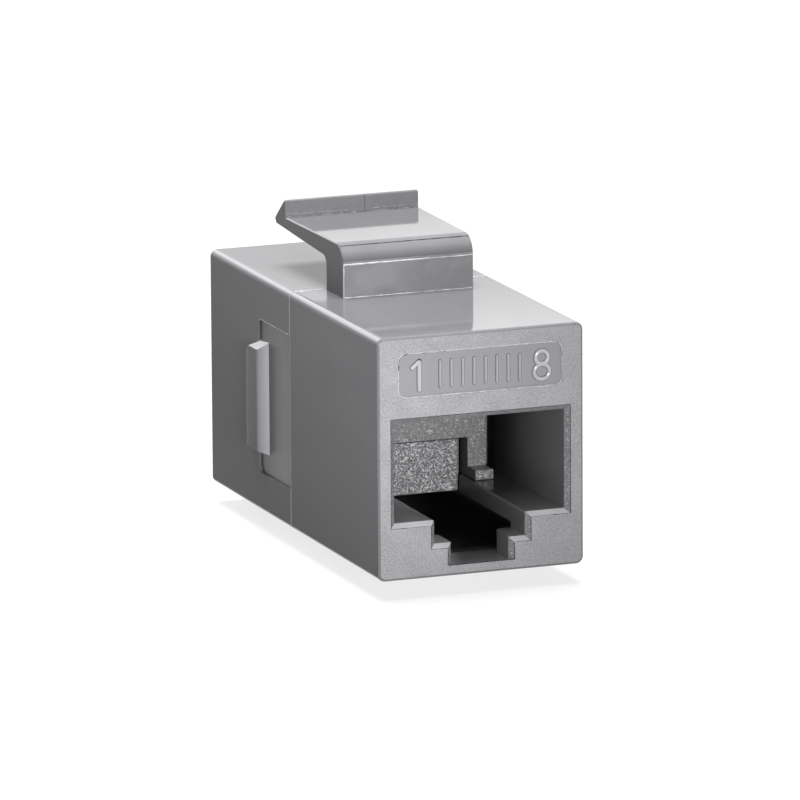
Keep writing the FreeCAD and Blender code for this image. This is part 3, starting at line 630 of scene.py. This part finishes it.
# Finish of a shell's face, from where it lies and which way it faces; lit and shaded copies are chosen by
# facing and place as painted light or shade
def shellFinish(polygon, face):
    zones = shellZones
    centre = polygon.center / mm
    normal = polygon.normal
    outward = -1 if face < 0 else 1
    depth = (face - centre.y) * outward
    facing = normal.y * outward
    height = centre.z - place["underside"]
    pastSeam = centre.y - place["seam"]
    recessAt = place["side"] - zones["recess"]
    inSocket = abs(centre.x) < zones["socketHalf"] and zones["socketLow"] < height < zones["socketTop"]
    inField = zones["recessStart"] < pastSeam < zones["recessEnd"] + zones["recessSlack"]
    inField = inField and zones["recessLow"] < height < zones["recessHigh"]
    onRidge = inField and zones["ridgeFrom"] < pastSeam < zones["ridgeTo"]
    onRidge = onRidge and abs(centre.x) > recessAt - zones["ridgeInset"]
    onLatch = height > zones["latchAbove"]
    if facing > zones["square"] and near(depth, 0):
        return sparkPlastic
    if facing > zones["square"] and near(depth, zones["labelDepth"]):
        return labelPlastic
    if inSocket and zones["slanted"] < facing < zones["steep"] and 0 < depth < zones["bevelDepth"]:
        return litSillPlastic if normal.z > zones["slanted"] else bevelPlastic
    if near(centre.y, place["seam"], zones["seamBevel"]) and zones["slanted"] < abs(facing) < zones["steep"]:
        return seamHighlightPlastic
    if inSocket and height < zones["keyTop"] and depth > zones["lipDepth"]:
        return deepShadePlastic
    if inSocket:
        return ledgeShadePlastic if normal.z > zones["steep"] else socketShadePlastic
    if near(abs(centre.x), recessAt) and abs(normal.x) > zones["steep"]:
        return recessShadePlastic
    if abs(centre.x) > recessAt and abs(normal.x) < zones["level"] and inField:
        return shadedSidePlastic if normal.y < -zones["leaning"] else satinShadedPlastic
    if onRidge and normal.y < -zones["sloping"] and abs(normal.z) < zones["leaning"]:
        return ridgeLitPlastic
    if onLatch and abs(normal.x) > zones["mostly"]:
        return shadedSidePlastic
    if onLatch and height < zones["bendBelow"] and zones["level"] < normal.z < zones["square"]:
        return shadedBendPlastic
    if height > zones["bendBelow"] and normal.y < -zones["steep"]:
        return lipPlastic
    if onLatch and normal.y < -zones["square"]:
        return wallPlastic
    if abs(normal.x) > zones["steep"]:
        return satinShadedPlastic
    return smoothPlastic


def makeShell(nodeName, pieceName, face):
    piece = mergedCopy(nodeName, pieceName, shellFinishes, lambda polygon: shellFinish(polygon, face))
    piece = steadyNormals(piece)
    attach(piece, "root")
    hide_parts(nodeName)


makeShell("front_housing", "frontShell", place["face"])
makeShell("rear_housing", "rearShell", place["rearFace"])
print("stage 4: shells finished")


# Pieces inside keep their solids and take their finish
def dressNode(name, material):
    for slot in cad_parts[name].material_slots:
        slot.material = material


# Contact carriers: the sunk panel is rough, and the slots beside it take the socket's plastic with its
# painted shade
carrierSet = {
    "panelDepth": 12.7,
    "panelTop": 8.0,
    "panelHalf": 3.45,
    "bandBottom": 6.5,
    "bandFront": 11.4,
    "lineInset": 0.5,
    "lineAhead": 0.01,
    "lineDrop": 0.02,
    "slotFrom": 11.5,
    "slotTo": 3.6,
    "foot": 10.0,
    "rounding": 0.09,
    "roundingAngle": 35,
    "roundingSteps": 3,
}


def carrierFinish(polygon):
    centre = polygon.center / mm
    across = abs(centre.x)
    depth = -place["face"] - abs(centre.y)
    if centre.z - place["underside"] >= carrierSet["panelTop"]:
        return insertPlastic
    inward = polygon.normal.x * math.copysign(1.0, centre.x) < -shellZones["steep"]
    if inward and carrierSet["panelHalf"] < across < carrierSet["slotTo"]:
        return socketShadePlastic
    if depth > carrierSet["slotFrom"] and across > carrierSet["panelHalf"]:
        return socketShadePlastic
    rough = near(depth, carrierSet["panelDepth"]) or near(depth, carrierSet["foot"])
    if rough and abs(polygon.normal.y) > shellZones["square"]:
        return panelPlastic
    return insertPlastic


def makeCarrier(nodeName, pieceName):
    piece = mergedCopy(nodeName, pieceName, [insertPlastic, panelPlastic, socketShadePlastic], carrierFinish)
    rounding = piece.modifiers.new("rounding", "BEVEL")
    rounding.limit_method = "ANGLE"
    rounding.angle_limit = math.radians(carrierSet["roundingAngle"])
    rounding.width = carrierSet["rounding"] * mm
    rounding.segments = carrierSet["roundingSteps"]
    rounding.use_clamp_overlap = False
    rounding.harden_normals = False
    piece = steadyNormals(piece)
    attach(piece, "root")
    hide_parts(nodeName)


makeCarrier("front_insert", "frontCarrier")
makeCarrier("rear_insert", "rearCarrier")
dressNode("circuit_board", boardLaminate)
dressNode("solder_joints", solderMetal)
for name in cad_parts:
    if "contact" in name:
        dressNode(name, contactMetal)
print("stage 5: inner pieces dressed")


# Geometry Nodes helpers
def newTree(name, inputs):
    tree = bpy.data.node_groups.new(name, "GeometryNodeTree")
    tree.interface.new_socket("Geometry", in_out="INPUT", socket_type="NodeSocketGeometry")
    for label, kind in inputs.items():
        tree.interface.new_socket(label, in_out="INPUT", socket_type="NodeSocket" + kind)
    tree.interface.new_socket("Geometry", in_out="OUTPUT", socket_type="NodeSocketGeometry")
    return tree, tree.nodes.new("NodeGroupInput"), tree.nodes.new("NodeGroupOutput")


def addTree(piece, tree, values):
    modifier = piece.modifiers.new("nodes", "NODES")
    modifier.node_group = tree
    for item in tree.interface.items_tree:
        if item.in_out == "INPUT" and item.name in values:
            modifier[item.identifier] = values[item.name]


# Curve of straight strokes, each a list of points in millimetres
def makeCurve(name, strokes, closed):
    curve = bpy.data.curves.new(name, "CURVE")
    curve.dimensions = "3D"
    for stroke in strokes:
        spline = curve.splines.new("POLY")
        spline.points.add(len(stroke) - 1)
        for point, where in zip(spline.points, stroke):
            point.co = (*spot(*where), 1.0)
        spline.use_cyclic_u = closed
    return linked(name, curve)


# Makes a thread or mark part of the moulding
def joinMoulding(piece):
    for face in piece.data.polygons:
        face.use_smooth = True
    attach(piece, "root")


# Mould flash: a ragged thread of plastic along an edge, with gaps in it
flashSet = {
    "grain": 2.2,
    "detail": 3.0,
    "thickRange": (0.42, 0.66),
    "sides": 6,
}


def makeFlashTree():
    tree, start, end = newTree("flashThread", {
        "Step": "Float", "Radius": "Float", "Wander": "Float", "Thinnest": "Float", "Seed": "Float",
        "Finish": "Material",
    })
    given = start.outputs
    resample = newNode(tree, "GeometryNodeResampleCurve", mode="LENGTH")
    fill(tree, resample, {"Curve": given["Geometry"], "Length": given["Step"]})
    where = newNode(tree, "GeometryNodeInputPosition")
    noise = newNode(tree, "ShaderNodeTexNoise", noise_dimensions="4D")
    fill(tree, noise, {"Scale": flashSet["grain"] / mm, "Detail": flashSet["detail"]})
    fill(tree, noise, {"Vector": where.outputs["Position"], "W": given["Seed"]})
    centred = newNode(tree, "ShaderNodeVectorMath", operation="SUBTRACT")
    centred.inputs[1].default_value = (noiseMiddle, noiseMiddle, noiseMiddle)
    tree.links.new(noise.outputs["Color"], centred.inputs[0])
    push = newNode(tree, "ShaderNodeVectorMath", operation="SCALE")
    tree.links.new(centred.outputs["Vector"], push.inputs[0])
    tree.links.new(given["Wander"], push.inputs["Scale"])
    move = newNode(tree, "GeometryNodeSetPosition")
    fill(tree, move, {"Geometry": resample.outputs["Curve"], "Offset": push.outputs["Vector"]})
    thick = rangeNode(tree, noise.outputs["Fac"], *flashSet["thickRange"], given["Thinnest"], 1.0)
    radius = newNode(tree, "GeometryNodeSetCurveRadius")
    fill(tree, radius, {"Curve": move.outputs["Geometry"], "Radius": thick})
    ring = newNode(tree, "GeometryNodeCurvePrimitiveCircle")
    fill(tree, ring, {"Resolution": flashSet["sides"], "Radius": given["Radius"]})
    sweep = newNode(tree, "GeometryNodeCurveToMesh")
    fill(tree, sweep, {"Curve": radius.outputs["Curve"], "Profile Curve": ring.outputs["Curve"]})
    fill(tree, sweep, {"Scale": thick, "Fill Caps": True})
    finish = newNode(tree, "GeometryNodeSetMaterial")
    fill(tree, finish, {"Geometry": sweep.outputs["Mesh"], "Material": given["Finish"]})
    real = newNode(tree, "GeometryNodeRealizeInstances")
    fill(tree, real, {"Geometry": finish.outputs["Geometry"]})
    fill(tree, end, {"Geometry": real.outputs["Geometry"]})
    return tree


flashTree = makeFlashTree()


# Each thread's step, radius and wander in millimetres, thinnest share of the radius, seed and finish; light
# finishes paint highlights and dark ones paint shadow lines
threadLooks = {
    "creaseFlash": (0.12, 0.05, 0.06, 0.4, 2.0, flashHighlightPlastic),
    "creaseBead": (0.12, 0.075, 0.05, 0.6, 31.0, flashHighlightPlastic),
    "baseFlash": (0.1, 0.06, 0.08, 0.45, 5.0, flashHighlightPlastic),
    "wallEdge": (0.12, 0.04, 0.02, 0.6, 6.0, flashHighlightPlastic),
    "lipFlash0": (0.08, 0.042, 0.16, -0.1, 9.0, seamHighlightPlastic),
    "lipFlash1": (0.08, 0.03, 0.16, -1.0, 10.0, seamHighlightPlastic),
    "lipLine": (0.2, 0.022, 0.005, 0.8, 4.0, shadowLinePlastic),
    "bendLine": (0.2, 0.05, 0.02, 0.6, 7.0, shadowLinePlastic),
    "labelRim": (0.12, 0.056, 0.01, 0.5, 3.0, flashHighlightPlastic),
    "labelShade": (0.12, 0.045, 0.03, 0.35, 8.0, shadowLinePlastic),
    "bandLine": (0.15, 0.05, 0.03, 0.6, 17.0, shadowLinePlastic),
    "frontSocketLine": (0.14, 0.045, 0.015, 0.6, 1.0, shadowLinePlastic),
    "rearSocketLine": (0.14, 0.045, 0.015, 0.6, 14.0, shadowLinePlastic),
    "socketFlash": (0.1, 0.04, 0.12, -0.2, 12.0, flashHighlightPlastic),
    "seamLine": (0.3, 0.035, 0.008, 0.8, 21.0, seamHighlightPlastic),
    "leftRoofSeam": (0.3, 0.04, 0.008, 0.8, 25.0, flashHighlightPlastic),
    "leftFieldTop": (0.2, 0.032, 0.008, 0.6, 23.0, seamHighlightPlastic),
    "rightRoofSeam": (0.3, 0.04, 0.008, 0.8, 25.0, flashHighlightPlastic),
    "rightFieldTop": (0.2, 0.032, 0.008, 0.6, 23.0, seamHighlightPlastic),
}


def makeThread(name, points, closed=False):
    piece = makeCurve(name, [points], closed)
    step, radius, wander, thinnest, seed, finish = threadLooks[name]
    addTree(piece, flashTree, {
        "Step": step * mm, "Radius": radius * mm, "Wander": wander * mm,
        "Thinnest": thinnest, "Seed": seed, "Finish": finish,
    })
    joinMoulding(plainMesh(piece))


# Threads' places in millimetres from the front face and the underside
latchFlash = {
    "half": 4.6,
    "beadEnd": 0.6,
    "wall": 13.1,
    "crease": 18.55,
    "lip": 23.6,
    "lipHalf": 4.78,
    "lipRises": (0.0, 0.2),
    "lipTop": 20.98,
    "mouldLine": 0.9,
    "plate": 19.85,
    "roof": 16.3,
    "bend": 1.295,
    "bendCentre": 14.4,
    "bendLean": 28.0,
}


# Threads on the latch: light ones along the crease, its base, the wall's edge and the lip as painted
# highlights, dark ones on the lip and across the bend as painted shade
def makeLatchFlash():
    y = place["face"]
    z = place["underside"]
    half = latchFlash["half"]
    wall = y + latchFlash["wall"]
    crease = z + latchFlash["crease"]
    roof = z + latchFlash["roof"]
    makeThread("creaseFlash", [(-half, wall, crease), (half, wall, crease)])
    makeThread("creaseBead", [(-half, wall, crease), (latchFlash["beadEnd"], wall, crease)])
    makeThread("baseFlash", [(-half, wall, roof), (half, wall, roof)])
    makeThread("wallEdge", [(-half, wall, roof), (-half, wall, crease)])
    lip = y + latchFlash["lip"]
    wide = latchFlash["lipHalf"]
    plate = z + latchFlash["plate"]
    for index, rise in enumerate(latchFlash["lipRises"]):
        makeThread("lipFlash" + str(index), [(-wide, lip, plate + rise), (wide, lip, plate + rise)])
    across = latchFlash["mouldLine"]
    makeThread("lipLine", [(across, lip, plate), (across, lip, z + latchFlash["lipTop"])])
    lean = math.radians(latchFlash["bendLean"])
    away = latchFlash["bendCentre"] - latchFlash["bend"] * math.sin(lean)
    rise = latchFlash["crease"] + latchFlash["bend"] * math.cos(lean)
    makeThread("bendLine", [(-half, y + away, z + rise), (half, y + away, z + rise)])


makeLatchFlash()


# Outline of a rounded rectangle on a plane across Y, as points
def roundedLoop(halfWidth, low, high, radius, y, arcSteps=6):
    points = []
    corners = [(halfWidth, low, -90), (halfWidth, high, 0), (-halfWidth, high, 90), (-halfWidth, low, 180)]
    for x, z, first in corners:
        centreX = x - math.copysign(radius, x)
        centreZ = z + radius if z == low else z - radius
        for step in range(arcSteps + 1):
            angle = math.radians(first + step * 90 / arcSteps)
            points.append((centreX + radius * math.cos(angle), y, centreZ + radius * math.sin(angle)))
    return points


# Label field: a fine raised line round it in a light tone as a painted highlight, a dark thread as painted
# shade at the left and above, and generic pin marks inside
labelSet = {
    "half": 5.78,
    "low": 12.18,
    "high": 15.18,
    "corner": 0.5,
    "rimLevel": 0.06,
    "rimInset": 0.03,
    "shadeBend": (0.15, 0.2),
    "shadeDrop": 0.05,
    "shadeEnd": -1.8,
    "middle": 13.62,
    "inset": 0.2,
    "barCount": 8,
    "barPitch": 0.8,
    "barHalf": 0.85,
    "barRadius": 0.14,
    "digitX": 4.35,
    "digitHalf": 0.95,
    "digitRadius": 0.185,
    "flag": 0.42,
    "stem": 0.08,
    "ovalSteps": 28,
    "lowerOval": (0.54, 0.5),
    "upperOval": (0.44, 0.44),
}


def makeLabelRim():
    low = place["underside"] + labelSet["low"]
    high = place["underside"] + labelSet["high"]
    level = place["face"] + labelSet["rimLevel"]
    inset = labelSet["rimInset"]
    side = -(labelSet["half"] - inset)
    corner = labelSet["corner"]
    makeThread("labelRim", roundedLoop(-side, low + inset, high - inset, corner, level), True)
    bendX, bendZ = labelSet["shadeBend"]
    top = high - labelSet["shadeDrop"]
    shade = [(side, low + corner), (side, high - corner), (side + bendX, high - bendZ)]
    shade += [(side + corner, top), (labelSet["shadeEnd"], top)]
    makeThread("labelShade", [(x, level, z) for x, z in shade])


# Raised round stroke along a curve, with ball ends, repeated in a row
roundSides = 16
ballRings = 10


def makeStrokeTree():
    tree, start, end = newTree("raisedStroke", {
        "Radius": "Float", "Count": "Int", "Pitch": "Float", "Finish": "Material"})
    given = start.outputs
    ring = newNode(tree, "GeometryNodeCurvePrimitiveCircle")
    fill(tree, ring, {"Resolution": roundSides, "Radius": given["Radius"]})
    sweep = newNode(tree, "GeometryNodeCurveToMesh")
    fill(tree, sweep, {"Curve": given["Geometry"], "Profile Curve": ring.outputs["Curve"]})
    ball = newNode(tree, "GeometryNodeMeshUVSphere")
    fill(tree, ball, {"Segments": roundSides, "Rings": ballRings, "Radius": given["Radius"]})
    balls = newNode(tree, "GeometryNodeInstanceOnPoints")
    fill(tree, balls, {"Points": given["Geometry"], "Instance": ball.outputs["Mesh"]})
    both = newNode(tree, "GeometryNodeJoinGeometry")
    tree.links.new(sweep.outputs["Mesh"], both.inputs["Geometry"])
    tree.links.new(balls.outputs["Instances"], both.inputs["Geometry"])
    step = newNode(tree, "ShaderNodeCombineXYZ")
    fill(tree, step, {"X": given["Pitch"]})
    span = mathNode(tree, "MULTIPLY", mathNode(tree, "SUBTRACT", given["Count"], 1.0), given["Pitch"])
    first = newNode(tree, "ShaderNodeCombineXYZ")
    fill(tree, first, {"X": mathNode(tree, "MULTIPLY", span, -0.5)})
    row = newNode(tree, "GeometryNodeMeshLine", mode="OFFSET")
    fill(tree, row, {"Count": given["Count"], "Offset": step.outputs["Vector"]})
    fill(tree, row, {"Start Location": first.outputs["Vector"]})
    copies = newNode(tree, "GeometryNodeInstanceOnPoints")
    fill(tree, copies, {"Points": row.outputs["Mesh"], "Instance": both.outputs["Geometry"]})
    real = newNode(tree, "GeometryNodeRealizeInstances")
    fill(tree, real, {"Geometry": copies.outputs["Instances"]})
    finish = newNode(tree, "GeometryNodeSetMaterial")
    fill(tree, finish, {"Geometry": real.outputs["Geometry"], "Material": given["Finish"]})
    fill(tree, end, {"Geometry": finish.outputs["Geometry"]})
    return tree


strokeTree = makeStrokeTree()


# Strokes are lists of points across and up from the mark's middle, which is at x
def makeMark(name, strokes, closed, radius, x, count=1, pitch=0.0):
    piece = makeCurve(name, [[(across, 0.0, up) for across, up in stroke] for stroke in strokes], closed)
    values = {"Radius": radius * mm, "Count": count, "Pitch": pitch * mm, "Finish": litMarkPlastic}
    addTree(piece, strokeTree, values)
    piece = plainMesh(piece)
    height = place["underside"] + labelSet["middle"]
    piece.data.transform(Matrix.Translation(spot(x, place["face"] + labelSet["inset"], height)))
    joinMoulding(piece)


def ovalStroke(up, halfWidth, halfHeight):
    points = []
    steps = labelSet["ovalSteps"]
    for step in range(steps):
        angle = math.tau * step / steps
        points.append((halfWidth * math.cos(angle), up + halfHeight * math.sin(angle)))
    return points


def makeMarks():
    half = labelSet["barHalf"]
    bar = [(0.0, -half), (0.0, half)]
    makeMark("pinBars", [bar], False, labelSet["barRadius"], 0.0, labelSet["barCount"], labelSet["barPitch"])
    tall = labelSet["digitHalf"]
    flag = labelSet["flag"]
    stem = labelSet["stem"]
    first = [[(-flag, tall - flag), (stem, tall)], [(stem, tall), (stem, -tall)]]
    makeMark("firstDigit", first, False, labelSet["digitRadius"], -labelSet["digitX"])
    lower = labelSet["lowerOval"]
    upper = labelSet["upperOval"]
    last = [ovalStroke(-tall + lower[1], *lower), ovalStroke(tall - upper[1], *upper)]
    makeMark("lastDigit", last, True, labelSet["digitRadius"], labelSet["digitX"])


makeLabelRim()
makeMarks()


# Painted shadow line: a dark thread below the carrier's band
def makeBandLine():
    half = carrierSet["panelHalf"] - carrierSet["lineInset"]
    level = place["face"] + carrierSet["bandFront"] + carrierSet["lineAhead"]
    height = place["underside"] + carrierSet["bandBottom"] - carrierSet["lineDrop"]
    makeThread("bandLine", [(-half, level, height), (half, level, height)])


# Right half of each socket's lead-in bevel, across and up from the underside
socketOutline = [(2.39, 0.7), (2.39, 1.84), (3.56, 1.84), (3.56, 3.44), (6.36, 3.44), (6.36, 10.86)]
socketSet = {"inset": 0.03, "level": 0.055, "flashLevel": 0.06, "flashHalf": 6.3}


# Dark thread round each socket's lead-in bevel, a painted shadow line
def makeSocketLine(name, face):
    inset = socketSet["inset"]
    level = face + (socketSet["level"] if face < 0 else -socketSet["level"])
    top = socketOutline[-1][1]
    points = []
    for x, z in socketOutline + [(-x, z) for x, z in reversed(socketOutline)]:
        up = z - inset if z == top else z + inset
        points.append((x - math.copysign(inset, x), level, place["underside"] + up))
    makeThread(name, points, True)


# Light thread along the top of the front socket, a painted highlight
def makeSocketFlash():
    level = place["face"] + socketSet["flashLevel"]
    top = place["underside"] + socketOutline[-1][1] + socketSet["inset"]
    half = socketSet["flashHalf"]
    makeThread("socketFlash", [(half, level, top), (-half, level, top)])


makeBandLine()
makeSocketLine("frontSocketLine", place["face"])
makeSocketLine("rearSocketLine", place["rearFace"])
makeSocketFlash()


# Painted highlights: light threads along the seam, doubled on the roof, and along the upper edges of the
# sunk side fields
seamSet = {
    "side": 7.22,
    "inset": 0.03,
    "corner": 0.5,
    "roof": (4.1, 6.9),
    "fieldOut": 0.02,
    "fieldHigh": 13.35,
    "fieldFrom": 0.2,
    "fieldBend": 0.55,
    "fieldTo": 0.2,
    "fieldDrop": 0.15,
}


def makeSeamLines():
    seam = place["seam"]
    low = place["underside"] + seamSet["inset"]
    high = place["roof"] - seamSet["inset"]
    makeThread("seamLine", roundedLoop(seamSet["side"], low, high, seamSet["corner"], seam), True)
    top = place["underside"] + seamSet["fieldHigh"]
    back = seam + shellZones["recessEnd"]
    edge = [(seam + seamSet["fieldFrom"], top), (back - seamSet["fieldBend"], top)]
    edge.append((back - seamSet["fieldTo"], top - seamSet["fieldDrop"]))
    for sign, side in ((-1, "left"), (1, "right")):
        makeThread(side + "RoofSeam", [(sign * x, seam, place["roof"]) for x in seamSet["roof"]])
        x = sign * (seamSet["side"] + seamSet["fieldOut"])
        makeThread(side + "FieldTop", [(x, y, z) for y, z in edge])


makeSeamLines()
print("stage 6: mould flash, seam lines and pin marks made")


# Floor, world and lamps, with places and sizes in millimetres and angles in degrees
lightSet = {
    "floorHalf": 3000.0,
    "floorTone": 0.22,
    "floorGlow": 0.79,
    "worldLight": 0.13,
    "sun": {"tilt": -10.0, "angle": 34.0, "power": 4.5},
    "key": {"place": (-32, -190, 38), "aim": (-10.5, -16, 15), "radius": 22, "cone": 16.0, "power": 2.2},
    "top": {"place": (8, -22, 62), "aim": (5, -12, 17), "size": 18, "power": 0.004, "glossy": False},
    "rim": {"place": (-23, 135, 77), "aim": (-7, -2, 17), "size": 70, "power": 0.033, "glossy": True},
    "card": {"depth": 100, "half": 160, "low": 33, "high": 50, "fade": (38.6, 45.0), "glow": (0.88, 1.6)},
}


# One for the rays that see the background: camera, glossy and transmission rays
def seenRays(tree):
    path = newNode(tree, "ShaderNodeLightPath").outputs
    seen = mathNode(tree, "MAXIMUM", path["Is Camera Ray"], path["Is Glossy Ray"])
    return mathNode(tree, "MAXIMUM", seen, path["Is Transmission Ray"])


# Flat sheet from its four corners
def makeSheet(name, corners):
    mesh = bpy.data.meshes.new(name)
    mesh.from_pydata(corners, [], [(0, 1, 2, 3)])
    return linked(name, mesh)


def makeFloor():
    half = lightSet["floorHalf"] * mm
    floor = makeSheet("floor", [(-half, -half, 0), (half, -half, 0), (half, half, 0), (-half, half, 0)])
    material = bpy.data.materials.new("paleFloor")
    material.use_nodes = True
    tree = material.node_tree
    tree.nodes.clear()
    paint = newNode(tree, "ShaderNodeBsdfDiffuse")
    tone = lightSet["floorTone"]
    paint.inputs["Color"].default_value = (tone, tone, tone, 1.0)
    glow = newNode(tree, "ShaderNodeEmission")
    fill(tree, glow, {"Strength": mathNode(tree, "MULTIPLY", seenRays(tree), lightSet["floorGlow"])})
    both = newNode(tree, "ShaderNodeAddShader")
    tree.links.new(paint.outputs["BSDF"], both.inputs[0])
    tree.links.new(glow.outputs["Emission"], both.inputs[1])
    out = newNode(tree, "ShaderNodeOutputMaterial")
    fill(tree, out, {"Surface": both.outputs["Shader"]})
    floor.data.materials.append(material)


def makeWorld():
    world = bpy.data.worlds.new("studio")
    bpy.context.scene.world = world
    world.use_nodes = True
    tree = world.node_tree
    tree.nodes.clear()
    strength = rangeNode(tree, seenRays(tree), 0.0, 1.0, lightSet["worldLight"], 1.0, smooth=False)
    back = newNode(tree, "ShaderNodeBackground")
    fill(tree, back, {"Color": (1.0, 1.0, 1.0, 1.0), "Strength": strength})
    out = newNode(tree, "ShaderNodeOutputWorld")
    fill(tree, out, {"Surface": back.outputs["Background"]})


def makeLamp(name, kind):
    data = bpy.data.lights.new(name, kind)
    data.energy = lightSet[name]["power"]
    return linked(name, data)


# Puts the lamp at its place and turns it to its aim
def aimLamp(lamp):
    values = lightSet[lamp.name]
    lamp.location = spot(*values["place"])
    lamp.rotation_mode = "QUATERNION"
    lamp.rotation_quaternion = (spot(*values["aim"]) - lamp.location).to_track_quat("-Z", "Y")


def makeSun():
    lamp = makeLamp("sun", "SUN")
    lamp.data.angle = math.radians(lightSet["sun"]["angle"])
    lamp.rotation_euler = (math.radians(lightSet["sun"]["tilt"]), 0, 0)
    lamp.visible_glossy = False


def makeKey():
    lamp = makeLamp("key", "SPOT")
    lamp.data.spot_size = math.radians(lightSet["key"]["cone"])
    lamp.data.spot_blend = 1.0
    lamp.data.shadow_soft_size = lightSet["key"]["radius"] * mm
    aimLamp(lamp)


def makePanel(name):
    lamp = makeLamp(name, "AREA")
    lamp.data.size = lightSet[name]["size"] * mm
    aimLamp(lamp)
    lamp.visible_camera = False
    lamp.visible_glossy = lightSet[name]["glossy"]


# Graded card behind the object, seen only as a mirror image in its roof
def makeCard():
    values = lightSet["card"]
    half = values["half"]
    ends = [(-half, values["low"]), (half, values["low"]), (half, values["high"]), (-half, values["high"])]
    card = makeSheet("card", [spot(x, values["depth"], z) for x, z in ends])
    material, tree, shader = blankMaterial("gradedCard")
    glow = rangeNode(tree, coordinates(tree)["Z"], *values["fade"], *values["glow"], smooth=False)
    black = {"Base Color": (0.0, 0.0, 0.0, 1.0), "Specular IOR Level": 0.0}
    fill(tree, shader, {**black, "Emission Color": (1.0, 1.0, 1.0, 1.0), "Emission Strength": glow})
    card.data.materials.append(material)
    card.visible_camera = False
    card.visible_diffuse = False
    card.visible_transmission = False
    card.visible_shadow = False


makeFloor()
makeCard()
makeWorld()
makeSun()
makeKey()
makePanel("top")
makePanel("rim")
bpy.context.scene.view_settings.view_transform = "Standard"
print("stage 7: floor, world and lamps made")
